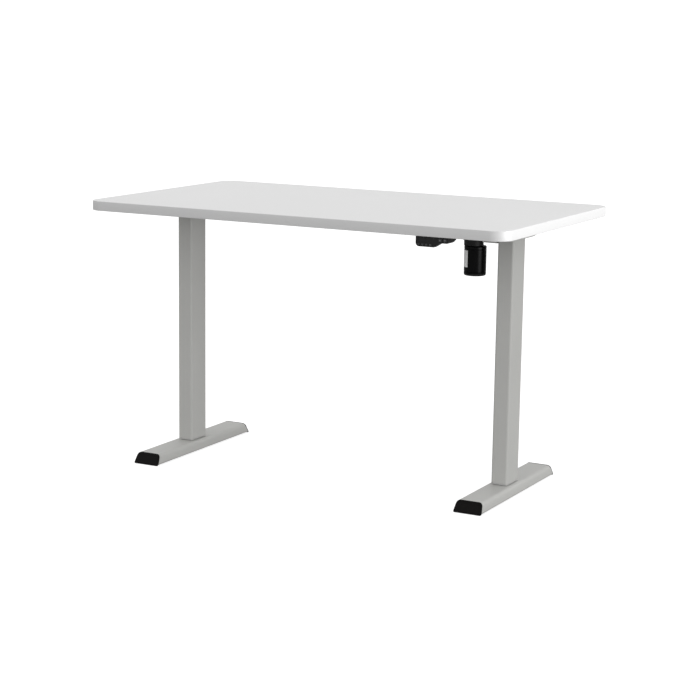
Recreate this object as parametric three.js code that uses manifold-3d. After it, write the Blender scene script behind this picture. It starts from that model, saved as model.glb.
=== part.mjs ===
// Height adjustable standing desk: two lifting columns on floor feet, one motor and one cross shaft.
// Millimetres, +Z up, +X along the desk, -Y towards the person.
// The origin is on the floor under the desktop's centre.
// The desk is drawn at its lowest height. Touching pieces keep a gap of 0.3 mm.
import * as THREE from 'three';
import { mergeVertices } from 'three/addons/utils/BufferGeometryUtils.js';
import Module from 'manifold-3d';

const wasm = await Module();
wasm.setup();

// ---- driving dimensions ---------------------------------------------------------------------------------
const GAP = 0.3;
const PAST = 1; // how far a cut runs past the face that it opens
const FAR = 800; // higher than the whole desk, for cuts that run right through

const DESK = { width: 1200, depth: 700, thick: 25, height: 720, corner: 45 };
const UNDERSIDE = DESK.height - DESK.thick;

const COLUMN = { x: 478, y: -27, width: 45, depth: 75, wall: 1.5, corner: 6, bottom: 34.7, top: 692.4 };
const INNER = { width: 38, depth: 68, wall: 1.5, corner: 4, top: 626 };
const GLIDE = { wall: 1.4, height: 60, lip: 2, lowerLip: 2.4 };

const FOOT = { y: -21, length: 480, bottomWidth: 78, topWidth: 69, floorGap: 3, top: 30, wall: 2, lean: 16,
  corner: 10, heel: 5 };
const CAP = { thick: 5, plug: 14, proud: 0.4, floorGap: 0.8 };
const LEVELLER = { radius: 14, studRadius: 4, studTop: 17, inset: 42 };
const ANCHOR = { thick: 8, boltX: 10, boltY: 22, boltRadius: 4.2, accessRadius: 7, accessTop: 15 };

const SCREW = { radius: 8, bottom: 100, top: 650, journal: 5, nutBottom: 584, nutClearance: 0.5,
  caseClearance: 1 };
const SHAFT = { z: 672, acrossFlats: 8, clearance: 6, end: 19 };
const MITRE = { radius: 13, inner: 7, teeth: 12, depth: 1.6, hub: 9, hubLength: 3.5, bore: 5.4 };
const CASE = { bottom: 636, floor: 4, wall: 3.4, top: 690, cavityDepth: 44 };
const BEARING = { radius: 12.7, height: 7 };

const BRACKET = { wall: 2, clearance: 0.8, depth: 33, tip: 7, front: -285, rear: 240, flatFront: -80,
  flatRear: 60, screws: [-260, -180, 130, 215], screwHole: 2.8 };
const RAIL = { width: 25, height: 24, wall: 1.5, bottom: 664, frontY: -100, rearY: 46 };

const MOTOR = { x: 387.4, radius: 28.4, bottom: 565, cap: 6, bevel: 4.4, top: 641 };
const WORM = { radius: 6.6, core: 4.8, journal: 4, threads: 4, pitch: 5.5, shaftDepth: 10, clearance: 1.4 };
const WHEEL = { radius: 13, depth: 1.8, teeth: 16, width: 12, centreDistance: 20, clearance: 1.4,
  endPlay: 2 };
const DRIVE = { left: 363, right: 412, front: -73, rear: -10, bottom: 655.5, top: 690.5, wall: 3, corner: 6,
  neckRadius: 25, neckShift: -4.9, coverFront: -46 };
const MOUNT = { front: -62, rear: 8, bottom: 651.5, top: 690.5, wall: 3, corner: 5 };

const BOX = { left: 60, right: 300, front: 85, rear: 180, bottom: 660, seam: 687, wall: 2.5, tray: 4, ear: 16,
  corner: 6 };
const INLET = { x: 110, width: 24, height: 16, depth: 10, proud: 0.6, rim: 3, floor: 2, pinX: 4,
  pinRadius: 1.2 };
const BOARD = { side: 8, front: 8, rear: 24, standOff: 8, thick: 1.6 };

const PAD = { left: 364.5, right: 451, front: -345, rear: -299, deep: 670, shallow: 681,
  stepLeft: 413, stepRight: 430, underFront: 668, underRear: 689, cavity: 12, pocket: 5.2,
  round: 9, small: 4, wall: 2.5, segments: 6 };
const FACE = { thick: 2 };
const BUTTON = { stem: 3.5, proud: 1.4, clearance: 0.35 };
const DISPLAY = { left: 369.5, right: 392, bottom: 681, top: 691 };
const BUTTONS = [
  { name: 'up_button', x: 429.5, z: 688, width: 10, height: 8 },
  { name: 'down_button', x: 442.5, z: 688, width: 10, height: 8 },
  { name: 'memory_1_button', x: 372.5, z: 675.6, width: 7, height: 5.4 },
  { name: 'memory_2_button', x: 383, z: 675.6, width: 7, height: 5.4 },
  { name: 'memory_3_button', x: 393.5, z: 675.6, width: 7, height: 5.4 },
  { name: 'set_button', x: 404, z: 675.6, width: 7, height: 5.4 },
];

const MOTOR_LEAD = { radius: 2.5, exitZ: 626, exitAngle: THREE.MathUtils.degToRad(118) };
const HANDSET_LEAD = { radius: 1.8 };

// ---- materials ------------------------------------------------------------------------------------------
function material(color, roughness, metalness = 0) {
  return new THREE.MeshStandardMaterial({ color, roughness, metalness });
}

const laminate = material(0xe6e6e6, 0.45);
const powderCoat = material(0xb0afaa, 0.6, 0.1);
const blackPlastic = material(0x141414, 0.5);
const blackSteel = material(0x0b0b0c, 0.35, 0.5);
const zincSteel = material(0xc4c7ca, 0.35, 0.9);
const bareSteel = material(0x8f9294, 0.3, 0.95);
const nylon = material(0xe9e7df, 0.55);
const bronze = material(0xb08a4a, 0.4, 0.8);
const rubber = material(0x1a1a1a, 0.9);
const smokedWindow = material(0x050607, 0.12);
const greyKey = material(0x4a4c4f, 0.55);
const lightPlastic = material(0xbdbcb8, 0.6);
const boardGreen = material(0x1f5a35, 0.5);

// ---- solids ---------------------------------------------------------------------------------------------
function solid(geometry) {
  const bare = geometry.index ? geometry.toNonIndexed() : geometry.clone();
  bare.deleteAttribute('normal');
  bare.deleteAttribute('uv');
  const merged = mergeVertices(bare, 1e-4);
  return new wasm.Manifold(new wasm.Mesh({
    numProp: 3,
    vertProperties: new Float32Array(merged.attributes.position.array),
    triVerts: new Uint32Array(merged.index.array),
  }));
}

function geometryOf(manifold) {
  const mesh = manifold.getMesh();
  const geometry = new THREE.BufferGeometry();
  geometry.setAttribute('position', new THREE.BufferAttribute(new Float32Array(mesh.vertProperties), 3));
  geometry.setIndex(new THREE.BufferAttribute(new Uint32Array(mesh.triVerts), 1));
  geometry.computeVertexNormals();
  return geometry;
}

function box(x0, x1, y0, y1, z0, z1) {
  const geometry = new THREE.BoxGeometry(x1 - x0, y1 - y0, z1 - z0);
  geometry.translate((x0 + x1) / 2, (y0 + y1) / 2, (z0 + z1) / 2);
  return solid(geometry);
}

// A cylinder along one axis. The centre gives the other two coordinates, in X, Y, Z order.
function cylinder(radius, axis, from, to, centre, sides = 20) {
  const geometry = new THREE.CylinderGeometry(radius, radius, to - from, sides);
  if (axis === 'x') geometry.rotateZ(-Math.PI / 2);
  if (axis === 'z') geometry.rotateX(Math.PI / 2);
  const middle = (from + to) / 2;
  const place = { x: [middle, ...centre], y: [centre[0], middle, centre[1]], z: [...centre, middle] }[axis];
  geometry.translate(...place);
  return solid(geometry);
}

// Extrudes an outline. Along z it lies in X-Y, along y in X-Z, and along x in Y-Z.
function prism(shape, axis, from, to, curveSegments = 2) {
  const geometry = new THREE.ExtrudeGeometry(shape, { depth: to - from, bevelEnabled: false, curveSegments });
  geometry.translate(0, 0, from);
  const turn = new THREE.Matrix4();
  if (axis === 'y') turn.set(1, 0, 0, 0, 0, 0, 1, 0, 0, 1, 0, 0, 0, 0, 0, 1);
  if (axis === 'x') turn.set(0, 0, 1, 0, 1, 0, 0, 0, 0, 1, 0, 0, 0, 0, 0, 1);
  geometry.applyMatrix4(turn);
  if (turn.determinant() < 0) flip(geometry);
  return solid(geometry);
}

// Turns every face over, after a change of axes that mirrored the geometry.
function flip(geometry) {
  const position = geometry.attributes.position;
  for (let i = 0; i < position.count; i += 3) {
    const keep = [position.getX(i), position.getY(i), position.getZ(i)];
    position.setXYZ(i, position.getX(i + 1), position.getY(i + 1), position.getZ(i + 1));
    position.setXYZ(i + 1, ...keep);
  }
}

// Turns a profile of [radius, z] points about the Z axis.
function turned(points, sides = 20) {
  const geometry = new THREE.LatheGeometry(points.map(([r, z]) => new THREE.Vector2(r, z)), sides);
  geometry.rotateX(Math.PI / 2);
  return solid(geometry);
}

function roundedRect(width, height, radius, cx = 0, cy = 0) {
  const x = width / 2;
  const y = height / 2;
  const shape = new THREE.Shape();
  shape.moveTo(cx - x + radius, cy - y);
  shape.lineTo(cx + x - radius, cy - y);
  shape.absarc(cx + x - radius, cy - y + radius, radius, -Math.PI / 2, 0);
  shape.absarc(cx + x - radius, cy + y - radius, radius, 0, Math.PI / 2);
  shape.absarc(cx - x + radius, cy + y - radius, radius, Math.PI / 2, Math.PI);
  shape.absarc(cx - x + radius, cy - y + radius, radius, Math.PI, 1.5 * Math.PI);
  return shape;
}

// A rectangular tube or sleeve along an axis, with rounded corners inside and out.
function sleeve(width, depth, corner, wall, axis, from, to, cx = 0, cy = 0) {
  const outer = prism(roundedRect(width, depth, corner, cx, cy), axis, from, to);
  const innerCorner = Math.max(corner - wall, 0.5);
  const hole = roundedRect(width - 2 * wall, depth - 2 * wall, innerCorner, cx, cy);
  return outer.subtract(prism(hole, axis, from - PAST, to + PAST));
}

function polygon(points) {
  return new THREE.Shape(points.map(([x, y]) => new THREE.Vector2(x, y)));
}

// A gear outline: teeth with sloping flanks between the root and tip circles.
function gearOutline(tip, root, teeth) {
  const points = [];
  for (let i = 0; i < teeth; i += 1) {
    for (const [part, radius] of [[0.05, root], [0.3, tip], [0.55, tip], [0.8, root]]) {
      const angle = ((i + part) / teeth) * 2 * Math.PI;
      points.push([radius * Math.cos(angle), radius * Math.sin(angle)]);
    }
  }
  return points;
}

function hexOutline(acrossFlats) {
  const radius = acrossFlats / Math.sqrt(3);
  const angles = [0, 1, 2, 3, 4, 5].map((i) => (i * Math.PI) / 3);
  return angles.map((angle) => [radius * Math.cos(angle), radius * Math.sin(angle)]);
}

function tubeAlong(points, radius, sides, steps) {
  const path = new THREE.CatmullRomCurve3(points.map((p) => new THREE.Vector3(...p)), false, 'centripetal');
  const section = new THREE.Shape();
  for (let i = 0; i < sides; i += 1) {
    const angle = (i / sides) * 2 * Math.PI;
    section[i ? 'lineTo' : 'moveTo'](radius * Math.cos(angle), radius * Math.sin(angle));
  }
  return solid(new THREE.ExtrudeGeometry(section, { steps, bevelEnabled: false, extrudePath: path }));
}

const desk = new THREE.Group();

function piece(name, manifold, look, parent = desk) {
  const mesh = new THREE.Mesh(geometryOf(manifold), look);
  mesh.name = name;
  parent.add(mesh);
}

// ---- desktop --------------------------------------------------------------------------------------------
function addDesktop() {
  const outline = roundedRect(DESK.width, DESK.depth, DESK.corner);
  piece('desktop', prism(outline, 'z', UNDERSIDE, DESK.height, 6), laminate);
}

// ---- feet -----------------------------------------------------------------------------------------------
// The foot's section: flat top and bottom, sides that lean in, and rounded corners.
function footOutline(inset, bottom = FOOT.floorGap) {
  const low = FOOT.bottomWidth / 2 - inset;
  const high = FOOT.topWidth / 2 - inset;
  const top = FOOT.top - inset;
  const { corner, heel } = FOOT;
  const slope = (low - high) / (top - bottom);
  const side = high + corner * slope;
  const shape = new THREE.Shape();
  shape.moveTo(-low + heel, bottom);
  shape.lineTo(low - heel, bottom);
  shape.quadraticCurveTo(low, bottom, low - heel * slope, bottom + heel);
  shape.lineTo(side, top - corner);
  shape.quadraticCurveTo(high, top, high - corner, top);
  shape.lineTo(-high + corner, top);
  shape.quadraticCurveTo(-high, top, -side, top - corner);
  shape.lineTo(-low + heel * slope, bottom + heel);
  shape.quadraticCurveTo(-low, bottom, -low + heel, bottom);
  return shape;
}

// A length of foot section whose end faces lean: each end reaches further out the lower it is.
function footLength(outline, front, rear, frontLean, rearLean) {
  const geometry = new THREE.ExtrudeGeometry(outline, { depth: 1, bevelEnabled: false, curveSegments: 3 });
  const position = geometry.attributes.position;
  for (let i = 0; i < position.count; i += 1) {
    const z = position.getY(i);
    const drop = (FOOT.top - z) / FOOT.top;
    const y = position.getZ(i) > 0.5 ? rear + rearLean * drop : front - frontLean * drop;
    position.setXYZ(i, position.getX(i), y, z);
  }
  flip(geometry);
  return solid(geometry);
}

// One foot in its column's frame: x = 0 on the column, y as in the whole desk.
function addFoot(side, parent) {
  const half = FOOT.length / 2 - FOOT.lean - CAP.thick;
  const front = FOOT.y - half;
  const rear = FOOT.y + half;
  const inset = FOOT.wall;
  const levellerY = [FOOT.y - FOOT.length / 2 + LEVELLER.inset, FOOT.y + FOOT.length / 2 - LEVELLER.inset];
  let tube = footLength(footOutline(0), front, rear, FOOT.lean, FOOT.lean);
  tube = tube.subtract(prism(footOutline(inset, FOOT.floorGap + inset), 'y', front - 30, rear + 30, 3));
  for (const y of levellerY) {
    const studHole = cylinder(LEVELLER.studRadius + GAP, 'z', 0, FOOT.floorGap + FOOT.wall + PAST, [0, y], 16);
    tube = tube.subtract(studHole);
  }
  for (const [x, y] of anchorBolts()) {
    tube = tube.subtract(cylinder(ANCHOR.accessRadius, 'z', 0, ANCHOR.accessTop, [x, y], 10));
    tube = tube.subtract(cylinder(ANCHOR.boltRadius, 'z', ANCHOR.accessTop, FOOT.top + PAST, [x, y], 8));
  }
  piece(`${side}_foot`, tube, powderCoat, parent);
  piece(`${side}_foot_front_cap`, footCap(front, -1), blackPlastic, parent);
  piece(`${side}_foot_rear_cap`, footCap(rear, 1), blackPlastic, parent);
  piece(`${side}_front_leveller`, leveller(levellerY[0]), rubber, parent);
  piece(`${side}_rear_leveller`, leveller(levellerY[1]), rubber, parent);
}

// A moulded end cap: a leaning face plate outside the tube and a plug inside it.
function footCap(end, way) {
  const face = footOutline(-CAP.proud, CAP.floorGap);
  const plugOutline = footOutline(FOOT.wall + GAP, FOOT.floorGap + FOOT.wall + GAP);
  const plate = way < 0
    ? footLength(face, end - CAP.thick, end - GAP, FOOT.lean, -FOOT.lean)
    : footLength(face, end + GAP, end + CAP.thick, -FOOT.lean, FOOT.lean);
  const [from, to] = way < 0 ? [end - 2, end + CAP.plug] : [end - CAP.plug, end + 2];
  return plate.add(prism(plugOutline, 'y', from, to, 3));
}

function leveller(y) {
  const { radius, studRadius, studTop } = LEVELLER;
  const top = FOOT.floorGap - GAP;
  const profile = [[0, 0], [radius - 1.5, 0], [radius, 1], [radius, top], [studRadius, top],
    [studRadius, studTop], [0, studTop]];
  return turned(profile, 16).translate([0, y, 0]);
}

// ---- lifting columns ------------------------------------------------------------------------------------
// Column pieces stand in their column's frame: x = 0 on the column, y as in the whole desk.
function block(width, depth, corner, bottom, top) {
  return prism(roundedRect(width, depth, corner, 0, COLUMN.y), 'z', bottom, top);
}

function bore(radius, bottom, top) {
  return cylinder(radius, 'z', bottom, top, [0, COLUMN.y], 16);
}

// The lower tube with what is fixed in it: the anchor plate, the upper glide and the spindle nut.
function addInnerTube(side, parent) {
  const { width, depth, wall, corner, top } = INNER;
  const bottom = FOOT.top + GAP;
  const tube = sleeve(width, depth, corner, wall, 'z', bottom, top, 0, COLUMN.y);
  piece(`${side}_inner_tube`, tube, powderCoat, parent);

  const fit = 2 * (wall + GAP);
  let anchor = block(width - fit, depth - fit, corner - wall, bottom, bottom + ANCHOR.thick);
  for (const [x, y] of anchorBolts()) {
    anchor = anchor.subtract(cylinder(ANCHOR.boltRadius, 'z', 0, FAR, [x, y], 8));
  }
  piece(`${side}_anchor_plate`, anchor, zincSteel, parent);

  const grow = 2 * (GAP + GLIDE.wall);
  const glideBottom = top - GLIDE.height;
  const skirt = sleeve(width + grow, depth + grow, corner + 1, GLIDE.wall, 'z',
    glideBottom, top + GAP, 0, COLUMN.y);
  const lip = block(width + grow, depth + grow, corner + 1, top + GAP, top + GAP + GLIDE.lip);
  const mouth = block(width - 2 * wall, depth - 2 * wall, corner - wall, top - 1, top + 9);
  piece(`${side}_upper_glide`, skirt.add(lip.subtract(mouth)), nylon, parent);

  const nut = block(width - fit, depth - fit, corner - wall, SCREW.nutBottom, top);
  piece(`${side}_spindle_nut`, nut.subtract(bore(SCREW.radius + SCREW.nutClearance, 0, FAR)), nylon, parent);
}

// The upper tube, its lower glide, and the gear case and thrust bearing in its head.
// inward is the X direction from the column to the middle of the desk, where the cross shaft comes in.
function addOuterTube(side, inward, parent) {
  const { width, depth, wall, corner, bottom, top } = COLUMN;
  const [from, to] = inward > 0 ? [0, width] : [-width, 0];
  const shaftHole = cylinder(SHAFT.clearance, 'x', from, to, [COLUMN.y, SHAFT.z], 16);
  const tube = sleeve(width, depth, corner, wall, 'z', bottom, top, 0, COLUMN.y);
  piece(`${side}_outer_tube`, tube.subtract(shaftHole), powderCoat, parent);

  const grow = 2 * (GAP + GLIDE.wall);
  const skirt = sleeve(INNER.width + grow, INNER.depth + grow, INNER.corner + 1, GLIDE.wall, 'z',
    bottom - GAP - 1, bottom + GLIDE.height, 0, COLUMN.y);
  const collar = sleeve(width, depth, corner, (width - INNER.width) / 2 - GAP, 'z',
    bottom - GAP - GLIDE.lowerLip, bottom - GAP, 0, COLUMN.y);
  piece(`${side}_lower_glide`, skirt.add(collar), lightPlastic, parent);

  const inside = 2 * (wall + GAP);
  const floor = CASE.bottom + CASE.floor;
  const seat = floor + BEARING.height + 1;
  let gearCase = block(width - inside, depth - inside, corner - wall, CASE.bottom, CASE.top);
  const half = (width - inside) / 2 - CASE.wall;
  const deep = CASE.cavityDepth / 2;
  gearCase = gearCase.subtract(box(-half, half, COLUMN.y - deep, COLUMN.y + deep, seat, CASE.top + PAST));
  gearCase = gearCase.subtract(bore(BEARING.radius + GAP, floor, seat + PAST));
  gearCase = gearCase.subtract(bore(SCREW.radius + SCREW.caseClearance, 0, seat));
  gearCase = gearCase.subtract(cylinder(SHAFT.clearance, 'x', -width, width, [COLUMN.y, SHAFT.z], 16));
  piece(`${side}_gear_case`, gearCase, blackPlastic, parent);

  const race = bore(BEARING.radius, floor + GAP, floor + GAP + BEARING.height);
  piece(`${side}_spindle_bearing`, race.subtract(bore(SCREW.radius + GAP, 0, FAR)), bareSteel, parent);
}

// The steel channel over the column's head that carries the desktop: deep at the column, shallow at its ends.
function addSideBracket(side, inward, parent) {
  const { wall, depth, tip, front, rear, flatFront, flatRear } = BRACKET;
  const top = UNDERSIDE - GAP;
  const outer = COLUMN.width / 2 + BRACKET.clearance + wall;
  const profile = polygon([[front, top - tip], [flatFront, top - depth], [flatRear, top - depth],
    [rear, top - tip], [rear, top], [front, top]]);
  let channel = prism(profile, 'x', -outer, outer);
  channel = channel.subtract(box(-outer + wall, outer - wall, front - PAST, rear + PAST, 0, top - wall));
  for (const y of BRACKET.screws) {
    channel = channel.subtract(cylinder(BRACKET.screwHole, 'z', top - wall - PAST, top + PAST, [0, y], 8));
  }
  const [from, to] = inward > 0 ? [0, 2 * outer] : [-2 * outer, 0];
  const shaftHole = cylinder(SHAFT.clearance, 'x', from, to, [COLUMN.y, SHAFT.z], 16);
  piece(`${side}_side_bracket`, channel.subtract(shaftHole), powderCoat, parent);
}

function anchorBolts() {
  const { boltX, boltY } = ANCHOR;
  const rows = [COLUMN.y - boltY, COLUMN.y + boltY];
  return rows.flatMap((y) => [[-boltX, y], [boltX, y]]);
}

// ---- drive train ----------------------------------------------------------------------------------------
// A toothed cone with its large end at z = 0 and its hub below, held just inside the 45 degree pitch cone.
function mitreGear(boreManifold) {
  const { radius, inner, teeth, depth, hub, hubLength } = MITRE;
  const tip = radius - GAP;
  const cone = new THREE.ExtrudeGeometry(polygon(gearOutline(tip, tip - depth, teeth)), {
    depth: radius - inner, bevelEnabled: false,
  });
  const position = cone.attributes.position;
  const shrink = (inner - GAP) / tip;
  for (let i = 0; i < position.count; i += 1) {
    if (position.getZ(i) > 0.5) {
      position.setXY(i, position.getX(i) * shrink, position.getY(i) * shrink);
    }
  }
  const collar = cylinder(hub, 'z', -hubLength, 0.5, [0, 0]);
  return solid(cone).add(collar).subtract(boreManifold);
}

// The screw of one column and the mitre gear on its head.
function addSpindle(side, parent) {
  const { radius, bottom, top, journal } = SCREW;
  const gearZ = SHAFT.z - MITRE.radius;
  const screw = turned([[0, bottom], [radius - 1, bottom], [radius, bottom + 1], [radius, top], [journal, top],
    [journal, gearZ + 1], [0, gearZ + 1]], 16);
  piece(`${side}_spindle`, screw.translate([0, COLUMN.y, 0]), bareSteel, parent);
  const gear = mitreGear(cylinder(MITRE.bore, 'z', -20, 20, [0, 0], 16));
  piece(`${side}_spindle_gear`, gear.translate([0, COLUMN.y, gearZ]), bareSteel, parent);
}

// The mitre gear on the cross shaft, on the -X side of the screw so that both screws turn the same way.
function addPinion(side, parent) {
  const gear = mitreGear(hexBore('z', -20, 20).rotate([0, 0, 90]));
  const onShaft = gear.rotate([0, 90, 0]).translate([-MITRE.radius, COLUMN.y, SHAFT.z]);
  piece(`${side}_shaft_pinion`, onShaft, bareSteel, parent);
}

function hexBore(axis, from, to) {
  return prism(polygon(hexOutline(SHAFT.acrossFlats + 2 * GAP)), axis, from, to);
}

function addCrossShaft() {
  const end = COLUMN.x + SHAFT.end;
  const shaft = prism(polygon(hexOutline(SHAFT.acrossFlats)), 'x', -end, end);
  piece('hex_shaft', shaft.translate([0, COLUMN.y, SHAFT.z]), zincSteel);
  const { radius, depth, teeth, width } = WHEEL;
  const wheel = prism(polygon(gearOutline(radius, radius - depth, teeth)), 'x', -width / 2, width / 2);
  const bored = wheel.subtract(hexBore('x', -width, width));
  piece('worm_wheel', bored.translate([MOTOR.x, COLUMN.y, SHAFT.z]), bronze);
}

// ---- motor ----------------------------------------------------------------------------------------------
function addMotor() {
  const motorY = COLUMN.y - WHEEL.centreDistance;
  const { x, radius, bottom, cap, bevel, top } = MOTOR;
  const shaftBottom = top - WORM.shaftDepth;
  const canBottom = bottom + cap;
  const can = turned([[0, canBottom], [radius, canBottom], [radius, top - 1], [radius - 1, top], [0, top]], 32);
  const pocket = cylinder(WORM.journal + GAP, 'z', shaftBottom - GAP, top + PAST, [0, 0], 16);
  piece('motor_can', can.subtract(pocket).translate([x, motorY, 0]), blackSteel);
  const lid = turned([[0, bottom], [radius - bevel, bottom], [radius - 1, bottom + bevel - 2],
    [radius, bottom + bevel], [radius, bottom + cap - GAP], [0, bottom + cap - GAP]], 32);
  piece('motor_end_cap', lid.translate([x, motorY, 0]), blackPlastic);

  const { core, journal, threads, pitch } = WORM;
  const first = SHAFT.z - (threads * pitch) / 2;
  const profile = [[0, shaftBottom], [journal, shaftBottom], [journal, first]];
  for (let i = 0; i < threads; i += 1) {
    const z = first + i * pitch;
    profile.push([core, z + 0.1 * pitch], [WORM.radius, z + 0.35 * pitch], [WORM.radius, z + 0.65 * pitch],
      [core, z + 0.9 * pitch]);
  }
  const wormTop = first + threads * pitch + 2;
  profile.push([journal, first + threads * pitch], [journal, wormTop], [0, wormTop]);
  piece('motor_worm', turned(profile, 12).translate([x, motorY, 0]), bareSteel);
}

// The worm gear housing on the motor's head: a block around the worm and its wheel, and a round neck below it.
function addDriveHousing() {
  const { left, right, bottom, top, wall, front, rear, corner, neckRadius, neckShift, coverFront } = DRIVE;
  const motorY = COLUMN.y - WHEEL.centreDistance;
  const outline = roundedRect(right - left, rear - front, corner, (left + right) / 2, (front + rear) / 2);
  const chamber = WHEEL.radius + WHEEL.clearance;
  const chamberEnd = MOTOR.x + WHEEL.width / 2 + WHEEL.endPlay;
  const neckBottom = MOTOR.top + GAP;
  let housing = prism(outline, 'z', bottom, top);
  housing = housing.add(cylinder(neckRadius, 'z', neckBottom, bottom + 0.5, [MOTOR.x + neckShift, motorY]));
  housing = housing.subtract(cylinder(WORM.radius + WORM.clearance, 'z', 0, top - wall, [MOTOR.x, motorY]));
  housing = housing.subtract(cylinder(chamber, 'x', left - PAST, chamberEnd, [COLUMN.y, SHAFT.z]));
  housing = housing.subtract(cylinder(SHAFT.clearance, 'x', MOTOR.x, right + PAST, [COLUMN.y, SHAFT.z], 16));
  piece('drive_housing', housing, blackPlastic);

  const low = bottom + 1;
  const coverMiddle = [(coverFront + rear) / 2, (low + top) / 2];
  const coverOutline = roundedRect(rear - coverFront, top - low, corner, ...coverMiddle);
  const cover = prism(coverOutline, 'x', left - GAP - wall, left - GAP);
  const hole = cylinder(SHAFT.clearance, 'x', left - 10, left + 10, [COLUMN.y, SHAFT.z], 16);
  piece('drive_cover', cover.subtract(hole), blackPlastic);
}

// The grey box-section bracket between the drive housing and the right column. The cross shaft runs through it.
function addMotorMount() {
  const { front, rear, bottom, top, wall, corner } = MOUNT;
  const right = COLUMN.x - COLUMN.width / 2 - BRACKET.clearance - BRACKET.wall - GAP;
  const mount = sleeve(rear - front, top - bottom, corner, wall, 'x', DRIVE.right + GAP, right,
    (front + rear) / 2, (bottom + top) / 2);
  piece('motor_mount', mount, powderCoat);
}

// ---- frame between the columns --------------------------------------------------------------------------
function addRails() {
  const end = COLUMN.x - COLUMN.width / 2 - BRACKET.clearance - BRACKET.wall - GAP;
  const { width, height, wall, bottom, frontY, rearY } = RAIL;
  for (const [name, y] of [['front_rail', frontY], ['rear_rail', rearY]]) {
    piece(name, sleeve(width, height, 2.5, wall, 'x', -end, end, y, bottom + height / 2), powderCoat);
  }
}

// ---- control box ----------------------------------------------------------------------------------------
function addControlBox() {
  const { left, right, front, rear, bottom, wall, tray, ear, corner, seam } = BOX;
  const middle = [(left + right) / 2, (front + rear) / 2];
  const top = UNDERSIDE - GAP;
  const [width, depth] = [right - left, rear - front];
  const rim = 2 * (wall + GAP);
  const plate = prism(roundedRect(width, depth, corner, ...middle), 'z', seam, top);
  let base = plate.add(prism(roundedRect(width + 2 * ear, depth / 2, corner, ...middle), 'z', top - wall, top));
  const trayOutline = roundedRect(width - rim, depth - rim, corner - wall, ...middle);
  base = base.add(prism(trayOutline, 'z', seam - tray, seam + 0.5));
  const hollowOutline = roundedRect(width - rim - 2 * wall, depth - rim - 2 * wall, 2, ...middle);
  base = base.subtract(prism(hollowOutline, 'z', 0, top - wall));
  for (const x of [left - ear / 2, right + ear / 2]) {
    base = base.subtract(cylinder(BRACKET.screwHole, 'z', top - wall - PAST, top + PAST, [x, middle[1]], 8));
  }
  piece('control_box_base', base, blackPlastic);

  let cover = prism(roundedRect(width, depth, corner, ...middle), 'z', bottom, seam - GAP);
  const insideOutline = roundedRect(width - 2 * wall, depth - 2 * wall, corner - wall, ...middle);
  const inside = prism(insideOutline, 'z', bottom + wall, FAR);
  const inletMiddle = (bottom + seam) / 2;
  const half = [INLET.width / 2 + GAP, INLET.height / 2 + GAP];
  cover = cover.subtract(inside).subtract(
    box(INLET.x - half[0], INLET.x + half[0], rear - 2 * wall, rear + PAST,
      inletMiddle - half[1], inletMiddle + half[1]));
  piece('control_box_cover', cover, blackPlastic);

  const boardBottom = bottom + BOARD.standOff;
  const board = box(left + BOARD.side, right - BOARD.side, front + BOARD.front, rear - BOARD.rear,
    boardBottom, boardBottom + BOARD.thick);
  piece('control_board', board, boardGreen);
  addPowerInlet(inletMiddle);
}

// The mains socket in the control box: an oval recess with two pins.
function addPowerInlet(z) {
  const { x, width, height, depth, proud, rim, floor, pinX, pinRadius } = INLET;
  const face = BOX.rear + proud;
  let inlet = box(x - width / 2, x + width / 2, face - depth, face, z - height / 2, z + height / 2);
  const recess = roundedRect(width - 2 * rim, height - 2 * rim, height / 2 - rim - 0.01, x, z);
  inlet = inlet.subtract(prism(recess, 'y', face - depth + floor, face + PAST, 3));
  for (const side of [-pinX, pinX]) {
    inlet = inlet.add(cylinder(pinRadius, 'y', face - depth + 1, face - 1, [x + side, z], 8));
  }
  piece('power_inlet', inlet, blackPlastic);
}

// ---- handset --------------------------------------------------------------------------------------------
// The handset's front outline: a deep head on the left, a curved step, and a shallow wing on the right.
function handsetOutline() {
  const { left, right, deep, shallow, stepLeft, stepRight, round, small } = PAD;
  const top = UNDERSIDE - GAP;
  const shape = new THREE.Shape();
  shape.moveTo(left, top);
  shape.lineTo(left, deep + round);
  shape.absarc(left + round, deep + round, round, Math.PI, 1.5 * Math.PI);
  shape.lineTo(stepLeft, deep);
  shape.bezierCurveTo(stepLeft + 6, deep, stepRight - 6, shallow, stepRight, shallow);
  shape.lineTo(right - small, shallow);
  shape.absarc(right - small, shallow + small, small, -Math.PI / 2, 0);
  shape.lineTo(right, top);
  return shape;
}

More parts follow.
